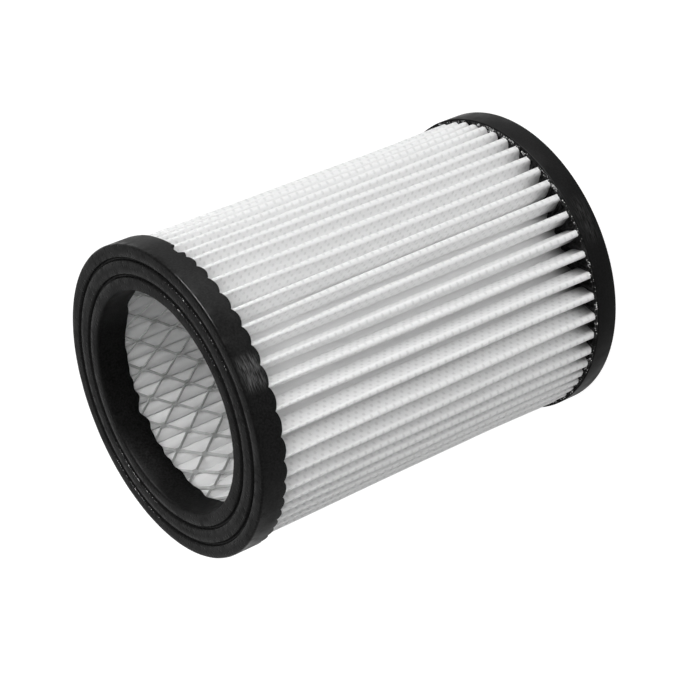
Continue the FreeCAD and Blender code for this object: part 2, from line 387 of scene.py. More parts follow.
@dataclass(frozen=True)
class EmbossedNonwoven:
    """White polyester nonwoven: matt, soft in the light, with staggered rows of bonded points."""

    fibre: str = "#f8f8f8"
    bonded: str = "#e8e8e8"
    stain_and_shade: str = "#2c2c2c"
    # Two rows of points lie in one wave along the strip, and one point of each in a wave upwards
    across_mm: float = 3.2
    along_mm: float = 2.6
    emboss_mm: float = 0.11
    # The real fibres are finer; they are drawn as coarse as the render can show
    fibre_mm: float = 0.35
    fibre_depth_mm: float = 0.05
    uv_name: str = "flat_strip"

    def material(self) -> bpy.types.Material:
        """Build the material from bonded points and fibres on the flat strip.

        Returns:
            The material, darker at the feet of the folds by the pour's stain and by painted shade.
        """
        material, add = new_material("polyester_nonwoven_white")
        flat = add("UVMap", settings={"uv_map": self.uv_name}).outputs["UV"]
        axes = add("SeparateXYZ", {"Vector": flat}).outputs
        waves = []
        for axis, pitch in (("X", self.across_mm), ("Y", self.along_mm)):
            turns = {0: axes[axis], 1: math.tau / (pitch * MM)}
            turned = add("Math", turns, {"operation": "MULTIPLY"})
            waves.append(add("Math", {0: turned}, {"operation": "SINE"}))
        # The product of the two waves puts every other row half a step along
        points = add("Math", {0: waves[0], 1: waves[1]}, {"operation": "MULTIPLY"})
        # The roller pressed the points from outside, and the roots inside stayed smooth
        darkening, side = (
            add("Attribute", settings={"attribute_name": zone.value}).outputs["Fac"]
            for zone in (Zone.STAIN_AND_SHADE, Zone.EMBOSS)
        )
        spots = add(
            "MapRange",
            {"Value": points, "From Min": 0.25, "From Max": 0.95, "To Max": side},
            {"interpolation_type": "SMOOTHSTEP"},
        )
        fibres = add("TexNoise", {"Vector": flat, "Scale": fineness(self.fibre_mm), "Detail": 3.0})
        clamped_sum = {"operation": "MULTIPLY_ADD", "use_clamp": True}
        shade = add("Math", {0: fibres, 1: 0.25, 2: spots}, clamped_sum)
        colour = add("Mix", {"Factor": shade, "A": self.fibre, "B": self.bonded}, COLOURS)
        # The pour's stain and painted shade darken the feet of the folds
        stained_and_shaded = add("Mix", {"Factor": darkening, "A": colour, "B": self.stain_and_shade}, COLOURS)
        depth = self.fibre_depth_mm * MM
        woolly = add("Bump", {"Strength": 0.35, "Distance": depth, "Height": fibres})
        depth = self.emboss_mm * MM
        embossed = add(
            "Bump",
            {"Strength": 0.8, "Distance": depth, "Height": spots, "Normal": woolly},
            {"invert": True},
        )
        # The bonded points are pressed to a film and shine a little
        gloss = add("MapRange", {"Value": spots, "To Min": 0.85, "To Max": 0.42})
        matt = {"Roughness": gloss, "IOR": 1.5, "Specular IOR Level": 0.3, "Normal": embossed}
        shader = add("BsdfPrincipled", {"Base Color": stained_and_shaded, **matt})
        add("OutputMaterial", {"Surface": shader})
        return material


@dataclass(frozen=True)
class ExpandedSteel:
    """Galvanised steel sheet, slit and stretched: pale grey zinc, half metal and half dull bloom."""

    bright: str = "#d6d7d6"
    dull: str = "#b8b9b8"
    bare: float = 0.45
    spangle_mm: float = 3.0
    drawn_mm: float = 0.4
    drawn_depth_mm: float = 0.03

    def material(self) -> bpy.types.Material:
        """Build the material from zinc spangle and fine drawing marks.

        Returns:
            The material.
        """
        material, add = new_material("galvanised_expanded_steel")
        place = add("TexCoord").outputs["Object"]
        spangle = add("TexVoronoi", {"Vector": place, "Scale": fineness(self.spangle_mm)})
        marks = add("TexNoise", {"Vector": place, "Scale": fineness(self.drawn_mm), "Detail": 2.0})
        grey = add("RGBToBW", {"Color": spangle.outputs["Color"]})
        colour = add("Mix", {"Factor": grey, "A": self.bright, "B": self.dull}, COLOURS)
        gloss = add("MapRange", {"Value": marks, "To Min": 0.6, "To Max": 0.75})
        depth = self.drawn_depth_mm * MM
        drawn = add("Bump", {"Strength": 0.3, "Distance": depth, "Height": marks})
        skin = {"Metallic": self.bare, "Roughness": gloss, "Normal": drawn}
        shader = add("BsdfPrincipled", {"Base Color": colour, **skin})
        add("OutputMaterial", {"Surface": shader})
        return material


@dataclass(frozen=True)
class StudioPaper:
    """Matt white paper under the part: even, with a faint soft shadow."""

    paper: str = "#f4f4f4"
    shade: str = "#959595"
    lift: float = 0.92

    def material(self) -> bpy.types.Material:
        """Build the material; the eye sees it lifted to white, the part sees plain paper.

        Returns:
            The material.
        """
        material, add = new_material("matt_studio_paper")
        matt = add("BsdfDiffuse", {"Color": self.paper})
        shaded = add("BsdfDiffuse", {"Color": self.shade})
        white = add("Emission", {"Color": WHITE, "Strength": self.lift})
        lifted = add("AddShader", {0: shaded, 1: white})
        shader = add("MixShader", {0: eye_rays(material.node_tree), 1: matt, 2: lifted})
        add("OutputMaterial", {"Surface": shader})
        return material


# The folds


@dataclass(frozen=True)
class FoldLayout:
    """Where the folds stand round the axis: closer in some places than in others."""

    count: int = 48
    first_deg: float = -105.3
    # Turns round the axis, sway in degrees and phase in degrees
    sway: tuple[tuple[int, float, float], ...] = (
        (1, 4.3, -142.0),
        (2, 1.6, -42.0),
        (3, 3.9, 69.0),
        (4, 1.2, -45.0),
        (5, 0.7, -31.0),
    )
    lean_deg: float = 0.45
    bow_deg: float = 0.35

    def angle(self, fold: float, rise: float = 0.5) -> float:
        """Find the angle of a place that is counted in folds.

        Args:
            fold: Whole numbers are outer tips and halves are inner roots.
            rise: Height in the pack, from 0 at the rear to 1 at the front.

        Returns:
            Angle round the axis in radians.
        """
        turn = math.tau * fold / self.count
        degrees = self.first_deg + math.degrees(turn)
        for turns, amount, phase in self.sway:
            degrees += amount * math.sin(turns * turn - math.radians(phase))
        degrees += self.lean_deg * (2.0 * rise - 1.0) * math.sin(7.0 * turn)
        degrees += self.bow_deg * math.sin(math.pi * rise) * math.sin(11.0 * turn + 1.0)
        return math.radians(degrees)


def sway_to_folds(
    bm: bmesh.types.BMesh,
    layout: FoldLayout,
    rise: float,
    drop: Callable[[float, float, float], float],
) -> None:
    """Crowd a turned ring as the folds are crowded and move its surface up or down.

    Args:
        bm: Ring with an even number of steps for each fold.
        layout: Angles of the folds.
        rise: Height of the ring in the pack, from 0 to 1.
        drop: Change of height for a place in folds, a radius and a height.
    """
    for vert in bm.verts:
        radius = math.hypot(vert.co.x, vert.co.y)
        if radius < 1e-4:
            continue
        fold = (math.atan2(vert.co.y, vert.co.x) % math.tau) * layout.count / math.tau
        angle = layout.angle(fold, rise)
        height = vert.co.z + drop(fold, radius, vert.co.z)
        vert.co = Vector((radius * math.cos(angle), radius * math.sin(angle), height))


@dataclass(frozen=True)
class Spot:
    """A place on a piece: the angle round the axis in degrees, the radius and the height."""

    angle: float
    radius: float
    height: float


def mark_zone(bm: bmesh.types.BMesh, zone: Zone, share: Callable[[Spot], float]) -> None:
    """Store at every vertex how far a zone covers it.

    Args:
        bm: Mesh in millimetres.
        zone: Attribute to write.
        share: Gives a share from 0 to 1 for a place.
    """
    layer = bm.verts.layers.float.new(zone.value)
    for vert in bm.verts:
        angle = math.degrees(math.atan2(vert.co.y, vert.co.x))
        vert[layer] = share(Spot(angle, math.hypot(vert.co.x, vert.co.y), vert.co.z))


@dataclass
class PleatPack:
    """One strip of nonwoven, folded to a ring of deep pleats."""

    layout: FoldLayout
    finish: EmbossedNonwoven
    bottom: float = 2.6
    top: float = 122.4
    thickness: float = 0.5
    tip_radius: float = 43.45
    root_radius: float = 33.85
    tip_bend: float = 0.72
    # Near the front cap the tips are pressed sharper by this share
    tip_pinch: float = 0.6
    # A root is a broad soft fold that leaves only this slit beside the next one
    root_slit: float = 0.1
    # Above the roots the flanks belly out by this share of the room between two folds
    belly_share: float = 0.44
    tip_wander: float = 0.3
    rear_flare: float = 0.4
    root_steps: int = 5
    flank_steps: int = 6
    tip_steps: int = 5
    # Heights above the bottom where rows of points lie close, and the even step between
    end_rows: tuple[float, ...] = (0.0, 2.2, 3.4, 4.6, 5.8, 7.2, 8.8, 10.5)
    row_step: float = 6.2
    pour: float = 6.4
    # Height above the pour over which the feet of the folds darken by stain and painted shade
    darkening: float = 7.4
    # Side of the ring where the painted shade at the feet of the folds is darkest, and how dark the
    # stain and shade get at most
    shade_deg: float = -100.0
    darkest: float = 0.94
    # The embossing fades out between these distances from the roots
    smooth_root: float = 2.0
    embossed_from: float = 4.0
    flat_length: float = field(default=0.0, init=False)

    def half_steps(self) -> int:
        """Count the steps from a root to a tip."""
        return self.root_steps + self.flank_steps + self.tip_steps

    def place(self, step: int, rise: float) -> Vector:
        """Find a point of the folded strip.

        Args:
            step: Steps along the strip from its first root.
            rise: Height in the pack, from 0 at the rear to 1 at the front.

        Returns:
            The point in millimetres.
        """
        half, local = divmod(step, self.half_steps())
        tip = half // 2
        climbing = half % 2 == 0
        root = tip - 0.5 if climbing else tip + 0.5
        local = local if climbing else self.half_steps() - local
        tip_angle = self.layout.angle(tip, rise)
        gap = abs(tip_angle - self.layout.angle(root, rise))
        seed = tip % self.layout.count
        wander = self.tip_wander * noise.noise(Vector((seed * 1.7, rise * 3.0, 0.5)))
        wander += self.rear_flare * blend01(rise, 0.3, 0.03)
        tip_bend = self.tip_bend * (1.0 - self.tip_pinch * blend01(rise, 0.62, 0.94))
        outer = Vector((self.tip_radius + wander - tip_bend, 0.0))
        room = self.root_radius * math.sin(gap)
        root_bend = (room - 0.5 * (self.thickness + self.root_slit)) / (1.0 - math.sin(gap))
        inner_radius = self.root_radius + root_bend
        inner = Vector((inner_radius * math.cos(gap), -inner_radius * math.sin(gap)))
        # The flank is the straight line that touches the bends of the root and of the tip
        way = outer - inner
        heading = math.atan2(way.y, way.x)
        heading -= math.asin((tip_bend + root_bend) / way.length)
        leave = inner + root_bend * Vector((-math.sin(heading), math.cos(heading)))
        reach = outer + tip_bend * Vector((math.sin(heading), -math.cos(heading)))
        if local <= self.root_steps:
            share = local / self.root_steps
            start = math.pi / 2 - gap
            turned = start + share * (heading - start)
            spot = inner + root_bend * Vector((-math.sin(turned), math.cos(turned)))
        elif local <= self.root_steps + self.flank_steps:
            share = (local - self.root_steps) / self.flank_steps
            belly = self.belly_share * room * math.sin(math.pi * share**0.6) ** 2
            spot = leave.lerp(reach, share)
            spot += belly * Vector((math.sin(heading), -math.cos(heading)))
        else:
            share = (local - self.root_steps - self.flank_steps) / self.tip_steps
            turned = heading + share * (math.pi / 2 - heading)
            spot = outer + tip_bend * Vector((math.sin(turned), -math.cos(turned)))
        across = spot.y if climbing else -spot.y
        height = self.bottom + rise * (self.top - self.bottom)
        return Matrix.Rotation(tip_angle, 3, "Z") @ Vector((spot.x, across, height))

    def flat_places(self, columns: int) -> list[float]:
        """Measure how far along the flat strip each column of points lies.

        Args:
            columns: Number of steps in the whole strip.

        Returns:
            Lengths in millimetres from the first column.
        """
        points = [self.place(step, 0.5) for step in range(columns + 1)]
        steps = ((after - before).length for before, after in zip(points, points[1:]))
        return list(accumulate(steps, initial=0.0))

    def rises(self) -> list[float]:
        """Place the rows of points: close at both ends, even between them.

        Returns:
            Heights in the pack, from 0 to 1.
        """
        tall = self.top - self.bottom
        free = tall - 2.0 * self.end_rows[-1]
        count = round(free / self.row_step)
        middle = [self.end_rows[-1] + free * i / count for i in range(1, count)]
        upper = [tall - height for height in reversed(self.end_rows)]
        return [height / tall for height in (*self.end_rows, *middle, *upper)]

    def stain_and_shade_share(self, spot: Spot) -> float:
        """Say where the feet of the folds darken: the pour's stain up the fibres, with painted shade
        deep between two folds and on one side of the ring.

        Args:
            spot: Place on the strip.

        Returns:
            A share from 0 to 1.
        """
        deep = blend01(spot.radius, self.tip_radius - 0.2, self.tip_radius - 1.7)
        side = (0.5 + 0.5 * math.cos(math.radians(spot.angle - self.shade_deg))) ** 3
        crept = blend01(spot.height, self.pour + self.darkening, self.pour - 0.4)
        return self.darkest * deep * crept * max(side, 0.15)

    def emboss_share(self, spot: Spot) -> float:
        """Say where the bonded points show: on the flanks and tips, not at the roots."""
        depth = spot.radius - self.root_radius
        return blend01(depth, self.smooth_root, self.embossed_from)

    def build(self) -> bpy.types.Object:
        """Fold a flat grid to the ring of pleats.

        Returns:
            The folded sheet with its thickness.
        """
        columns = 2 * self.layout.count * self.half_steps()
        lengths = self.flat_places(columns)
        self.flat_length = lengths[-1]
        rises = self.rises()
        rows = len(rises) - 1
        bm = bmesh.new()
        bmesh.ops.create_grid(bm, x_segments=columns, y_segments=rows, size=0.5)
        flat = bm.loops.layers.uv.new(self.finish.uv_name)
        tall = self.top - self.bottom
        for face in bm.faces:
            for loop in face.loops:
                along = lengths[round((loop.vert.co.x + 0.5) * columns)]
                rise = rises[round((loop.vert.co.y + 0.5) * rows)]
                loop[flat].uv = (along * MM, rise * tall * MM)
        for vert in bm.verts:
            rise = rises[round((vert.co.y + 0.5) * rows)]
            vert.co = self.place(round((vert.co.x + 0.5) * columns), rise)
        mark_zone(bm, Zone.STAIN_AND_SHADE, self.stain_and_shade_share)
        mark_zone(bm, Zone.EMBOSS, self.emboss_share)
        bmesh.ops.remove_doubles(bm, verts=bm.verts[:], dist=SAME_POINT)
        bmesh.ops.recalc_face_normals(bm, faces=bm.faces[:])
        piece = make_piece(bm, "pleated_nonwoven", 80.0, self.finish, Slot.NONWOVEN, "pleated_media")
        body = piece.modifiers.new("thickness", "SOLIDIFY")
        body.thickness = self.thickness * MM
        body.offset = 0.0
        body.use_even_offset = True
        return piece


# The castings


@dataclass
class FrontCap:
    """The open cap: a cast ring with two grooves and an edge that laps over the folds."""

    layout: FoldLayout
    finish: CastUrethane
    radius: float = 45.0
    bore: float = 32.0
    top: float = 125.0
    edge: float = 116.4
    # Height in the pack at which the ring follows the folds
    rise: float = 0.97
    groove_width: float = 1.2
    groove_depth: float = 1.0
    grooves: int = 2
    crown: float = 0.12
    # Roundings of the free edges, the outer corners, the lands and the floors of the grooves
    edge_round: float = 0.45
    top_round: float = 0.6
    land_round: float = 0.28
    floor_round: float = 0.15
    # Heights above the edge where the rim and the bore have rows of points
    rim_rows: tuple[float, ...] = (1.3, 2.6, 4.2, 6.0)
    bore_rows: tuple[float, ...] = (6.0, 3.5, 1.8)
    # Radii of the hidden underside, which lies a little above the edge
    hidden_rows: tuple[float, ...] = (34.3, 37.0, 40.0, 42.5, 44.0)
    hidden_rise: float = 0.5
    lap_depth: float = 1.15
    bore_lap: float = 1.1
    bore_ripple: float = 1.3
    unevenness: float = 0.08
    # Where the pour stopped short of the edge, and how far
    short_deg: float = -25.8
    short_depth: float = 1.6
    # Angle and height of the painted highlight on the rim
    highlight_deg: float = -80.0
    highlight_height: float = 121.0
    steps_per_fold: int = 14

    def land(self) -> float:
        """Find the width of one land between two grooves."""
        return (self.radius - self.bore - self.grooves * self.groove_width) / (self.grooves + 1)

    def section(self) -> list[Corner]:
        """Draw the half section, from the free edge over the lands to the bore.

        Returns:
            Corners in order.
        """
        low = self.top - self.crown
        floor = self.top - self.groove_depth
        land = self.land()
        corners = [Corner(self.radius, self.edge, self.edge_round)]
        corners += [Corner(self.radius, self.edge + step) for step in self.rim_rows]
        corners.append(Corner(self.radius, low, self.top_round))
        outer = self.radius
        for _ in range(self.grooves):
            corners.append(Corner(outer - land / 2, self.top))
            outer -= land
            corners.append(Corner(outer, low, self.land_round))
            for share in (0.35, 0.65):
                corners.append(Corner(outer - share * self.groove_width, floor, self.floor_round))
            outer -= self.groove_width
            corners.append(Corner(outer, low, self.land_round))
        corners.append(Corner(outer - land / 2, self.top))
        corners.append(Corner(self.bore, low, self.top_round))
        corners += [Corner(self.bore, self.edge + step) for step in self.bore_rows]
        corners.append(Corner(self.bore, self.edge - self.bore_lap, self.edge_round))
        corners.append(Corner(self.bore + 1.3, self.edge - 0.8 * self.bore_lap))
        corners += [Corner(radius, self.edge + self.hidden_rise) for radius in self.hidden_rows]
        return corners

    def drop(self, fold: float, radius: float, height: float) -> float:
        """Draw the lobes of the free edge and the small unevenness of the casting.

        Args:
            fold: Place round the ring, in folds.
            radius: Radius in millimetres.
            height: Height in millimetres.

        Returns:
            Change of height in millimetres.
        """
        lobe = int(fold) % self.layout.count
        swell = math.sin(math.pi * (fold % 1.0)) ** 0.75
        size = 0.85 + 0.3 * noise.noise(Vector((lobe * 2.3, 4.1, 0.0)))
        degrees = math.degrees(self.layout.angle(fold, self.rise))
        degrees = (degrees + 180.0) % 360.0 - 180.0
        # Beside the short place the edge runs smooth for a while
        swell = max(swell, blend01(degrees, -24.0, -20.0) * blend01(degrees, 20.0, 12.0))
        share = blend01(radius, 41.0, 44.0) * blend01(height, self.edge + 4.4, self.edge + 0.6)
        lapped = share * self.lap_depth * (1.0 - swell * size)
        # In one place the pour stopped short of the mould's edge
        short = blend01(abs(degrees - self.short_deg), 3.2, 1.8)
        lapped = max(lapped, self.short_depth * share * short)
        turn = math.tau * fold / self.layout.count
        ring = Vector((math.cos(turn), math.sin(turn), 0.0))
        wave = noise.noise(ring * 5.0 + Vector((0.0, 0.0, radius * 0.2)))
        top_share = blend01(height, self.top - 1.5, self.top)
        ripple = noise.noise(ring * 8.0 + Vector((0.0, 0.0, 7.0)))
        bore_share = blend01(radius, 34.2, 33.2) * blend01(height, self.edge + 3.0, self.edge)
        sunk = self.unevenness * top_share * abs(wave)
        return lapped - sunk + self.bore_ripple * bore_share * ripple

    def land_share(self, spot: Spot) -> float:
        """Say where the face of the lands is, which lay on the floor of the mould.

        Args:
            spot: Place on the cap.

        Returns:
            A share from 0 to 1.
        """
        inside = blend01(spot.radius, self.radius, self.radius - 0.5)
        inside *= blend01(spot.radius, self.bore, self.bore + 0.5)
        return inside * blend01(spot.height, self.top - 0.9, self.top - 0.3)

    def flash_share(self, spot: Spot) -> float:
        """Say where the sharp edges of the lands came shiny out of the mould.

        Args:
            spot: Place on the cap.

        Returns:
            A share from 0 to 1.
        """
        land = self.land()
        step = land + self.groove_width
        edges = [self.radius - 0.2]
        edges += [self.radius - land - i * step for i in range(self.grooves)]
        edges += [self.radius - (i + 1) * step for i in range(self.grooves)]
        near = min(abs(spot.radius - edge) for edge in edges)
        patch = noise.noise(Vector((0.35 * spot.angle, spot.radius, 5.0)))
        high = blend01(spot.height, self.top - 1.1, self.top - 0.6)
        return high * blend01(near, 0.5, 0.3) * blend01(patch, -0.35, 0.15)

    def painted_light_share(self, spot: Spot) -> float:
        """Say where the rim gets a patch of painted highlight in pale streaks.

        Args:
            spot: Place on the cap.

        Returns:
            A share from 0 to 1.
        """
        if spot.radius < self.radius - 0.3:
            return 0.0
        round_rim = blend01(abs(spot.angle - self.highlight_deg), 7.5, 3.0)
        return round_rim * blend01(abs(spot.height - self.highlight_height), 4.0, 2.0)

    def build(self) -> bpy.types.Object:
        """Turn the section and cast it round the folds.

        Returns:
            The cap.
        """
        bm = turn_section(self.section(), self.layout.count * self.steps_per_fold)
        sway_to_folds(bm, self.layout, self.rise, self.drop)
        mark_zone(bm, Zone.LAND, self.land_share)
        mark_zone(bm, Zone.PAINTED_LIGHT, self.painted_light_share)
        mark_zone(bm, Zone.FLASH, self.flash_share)
        return make_piece(bm, "front_cap_casting", 60.0, self.finish, Slot.URETHANE, "front_end_cap")


@dataclass
class RearCap:
    """The closed cap: a cast disc with a thin lip, poured round the feet of the folds."""

    layout: FoldLayout
    finish: CastUrethane
    radius: float = 45.0
    edge: float = 7.35
    pour: float = 7.0
    # Height in the pack at which the disc follows the folds
    rise: float = 0.03
    # Radii where the underside and the pour have rings of points
    under_rings: tuple[float, ...] = (0.0, 8.0, 20.0, 32.0)
    rim_rings: tuple[float, ...] = (44.35, 44.1, 43.8, 43.4, 43.0, 42.5, 42.0, 41.0)
    fold_rings: tuple[float, ...] = (40.0, 38.5, 37.0, 35.5, 34.0, 33.2, 32.4)
    core_rings: tuple[float, ...] = (31.6, 30.0, 24.0, 12.0, 0.0)
    tip_radius: float = 44.05
    root_radius: float = 33.6
    climb: float = 1.0
    climb_reach: float = 0.75
    lip: float = 0.45
    out_of_level: float = 0.45
    sag: float = 0.8
    # Angle of the painted highlight on the rim, and how strong it and the painted light on the pour
    # are
    rear_highlight_deg: float = -76.0
    painted_light_most: float = 0.3
    steps_per_fold: int = 14

    def section(self) -> list[Corner]:
        """Draw the half section, from the axis round the rim and back over the pour.

        Returns:
            Corners in order.
        """
        corners = [Corner(radius, 0.0) for radius in self.under_rings]
        corners.append(Corner(self.radius, 0.0, 0.4))
        corners.append(Corner(self.radius, 0.5 * self.edge))
        corners.append(Corner(self.radius, self.edge, 0.2))
        corners.append(Corner(self.radius - self.lip, self.edge, 0.12))
        rings = (*self.rim_rings, *self.fold_rings, *self.core_rings)
        corners += [Corner(radius, self.pour) for radius in rings]
        return corners

    def lean(self, degrees: float) -> float:
        """Find how far the lip stands low at an angle, as the cap was poured out of level."""
        return self.out_of_level * (math.cos(math.radians(degrees + 20.0)) - 1.0)

    def drop(self, fold: float, radius: float, height: float) -> float:
        """Let the pour climb at the folds and sag between them.

        Args:
            fold: Place round the disc, in folds.
            radius: Radius in millimetres.
            height: Height in millimetres.

        Returns:
            Change of height in millimetres.
        """
        turn = math.tau * fold / self.layout.count
        spot = Vector((radius * math.cos(turn), radius * math.sin(turn), 0.0))
        lean = self.lean(math.degrees(self.layout.angle(fold, self.rise)))
        lean *= blend01(height, 0.4 * self.edge, 0.8 * self.edge)
        if radius > self.radius - self.lip - 0.13 and height > self.pour - 0.3:
            return lean - 0.25 * max(noise.noise(spot * 0.3), 0.0)
        if height < self.pour - 0.3:
            return lean
        aside = abs(fold - round(fold))
        pitch = math.tau * radius / self.layout.count
        flank = 0.5 * (self.tip_radius - radius) / (self.tip_radius - self.root_radius)
        if flank < 0:
            away = math.hypot(aside * pitch, radius - self.tip_radius)
        else:
            away = max(abs(aside - min(flank, 0.5)) * pitch - 0.3, 0.0)
        sag = self.sag * blend01(radius, 44.0, 41.4) * blend01(radius, 33.0, 34.5)
        climb = self.climb * math.exp(-away / self.climb_reach) if radius > 32.8 else 0.0
        return lean + climb - sag

    def land_share(self, spot: Spot) -> float:
        """Say where the pour cured in the open, with a grainy face."""
        inside = blend01(spot.radius, self.radius - 0.2, self.radius - 0.6)
        return inside * blend01(spot.height, 0.6 * self.edge, 0.75 * self.edge)

    def painted_light_share(self, spot: Spot) -> float:
        """Say where the rim gets a painted highlight, and where the open pour is painted lighter in
        a mottle, as painted light thrown on it by the white folds.

        Args:
            spot: Place on the cap.

        Returns:
            A share from 0 to 1.
        """
        # Inside the lip the pour gets painted light; on the rim, a painted highlight
        if spot.radius < self.radius - 0.3:
            return self.painted_light_most * self.land_share(spot)
        round_rim = blend01(abs(spot.angle - self.rear_highlight_deg), 11.0, 4.0)
        return self.painted_light_most * round_rim * blend01(abs(spot.height - 0.5 * self.edge), 3.6, 2.0)

    def build(self) -> bpy.types.Object:
        """Turn the section and pour it round the folds.

        Returns:
            The cap.
        """
        bm = turn_section(self.section(), self.layout.count * self.steps_per_fold)
        sway_to_folds(bm, self.layout, self.rise, self.drop)
        mark_zone(bm, Zone.LAND, self.land_share)
        mark_zone(bm, Zone.PAINTED_LIGHT, self.painted_light_share)
        return make_piece(bm, "rear_cap_casting", 60.0, self.finish, Slot.URETHANE, "rear_end_cap")


def add_bead(bm: bmesh.types.BMesh, size: float, stretch: float, spot: Spot) -> None:
    """Add one small bead of cured urethane, drawn out along the ring.

    Args:
        bm: Mesh that gets the bead.
        size: Radius of the bead in millimetres.
        stretch: How many times longer than wide it is.
        spot: Place of its middle.
    """
    made = bmesh.ops.create_icosphere(bm, subdivisions=1, radius=size)["verts"]
    bmesh.ops.scale(bm, vec=(1.0, stretch, 1.0), verts=made)
    bmesh.ops.translate(bm, vec=(spot.radius, 0.0, spot.height), verts=made)
    turn = Matrix.Rotation(math.radians(spot.angle), 3, "Z")
    bmesh.ops.rotate(bm, cent=ORIGIN, matrix=turn, verts=made)


@dataclass
class EdgeFlash:
    """Fine crumbs of flash along the edges of the lands, where the mould's parts met."""

    cap: FrontCap
    finish: WetUrethane
    # First and last angle in degrees, and whether the edges that face outwards have it
    runs: tuple[tuple[float, float, bool], ...] = ((-80.0, -28.0, True), (108.0, 148.0, False))
    count: int = 640
    smallest: float = 0.04
    largest: float = 0.11
    seed: int = 31

    def build(self) -> bpy.types.Object:
        """Scatter the crumbs along the edges of the grooves.

        Returns:
            The crumbs as one piece.
        """
        draw = Random(self.seed)
        land = self.cap.land()
        step = land + self.cap.groove_width
        bm = bmesh.new()
        for _ in range(self.count):
            first, last, outwards = self.runs[draw.randrange(len(self.runs))]
            groove = draw.randrange(self.cap.grooves)
            edge = self.cap.radius - groove * step - (step if outwards else land)
            degrees = first + (last - first) * (draw.random() + draw.random()) / 2
            size = draw.uniform(self.smallest, self.largest)
            stretch = draw.uniform(0.8, 2.4)
            inwards = draw.uniform(0.0, 0.3) * (-1.0 if outwards else 1.0)
            # A crumb is sunk in the land, so that its top stays below the cap's face
            height = self.cap.top - self.cap.crown - 0.7 * size - 0.02
            add_bead(bm, size, stretch, Spot(degrees, edge + inwards, height))
        return make_piece(bm, "front_edge_flash", 80.0, self.finish, Slot.URETHANE)


@dataclass
class LipFlash:
    """Beads of urethane that foamed over between the folds and the lip of the rear cap."""

    cap: RearCap
    finish: WetUrethane
    count: int = 520
    smallest: float = 0.16
    largest: float = 0.4
    inner: float = 42.9
    outer: float = 44.5
    # Inside this radius a bead this close to a fold, in folds, would lie under it
    covered_inside: float = 44.2
    covered_beside: float = 0.24
    seed: int = 23

    def build(self) -> bpy.types.Object:
        """Scatter the beads along the lip, close in some places and far apart in others.

        Returns:
            The beads as one piece.
        """
        draw = Random(self.seed)
        bm = bmesh.new()
        placed = 0
        while placed < self.count:
            fold = draw.uniform(0.0, self.cap.layout.count)
            size = draw.uniform(self.smallest, self.largest) * draw.uniform(0.6, 1.0)
            radius = self.outer - (self.outer - self.inner) * draw.random() ** 1.6
            stretch = draw.uniform(0.7, 1.6)
            patch = noise.noise(Vector((0.6 * fold, 0.0, 3.0)))
            beside = abs(fold - round(fold))
            covered = radius < self.covered_inside and beside < self.covered_beside
            if covered or patch < draw.uniform(-0.5, 0.5):
                continue
            placed += 1
            height = self.cap.pour + self.cap.drop(fold, radius, self.cap.pour) + 0.4 * size
            degrees = math.degrees(self.cap.layout.angle(fold, self.cap.rise))
            add_bead(bm, size, stretch, Spot(degrees, radius, height))
        return make_piece(bm, "rear_lip_flash", 80.0, self.finish, Slot.URETHANE)


# The core


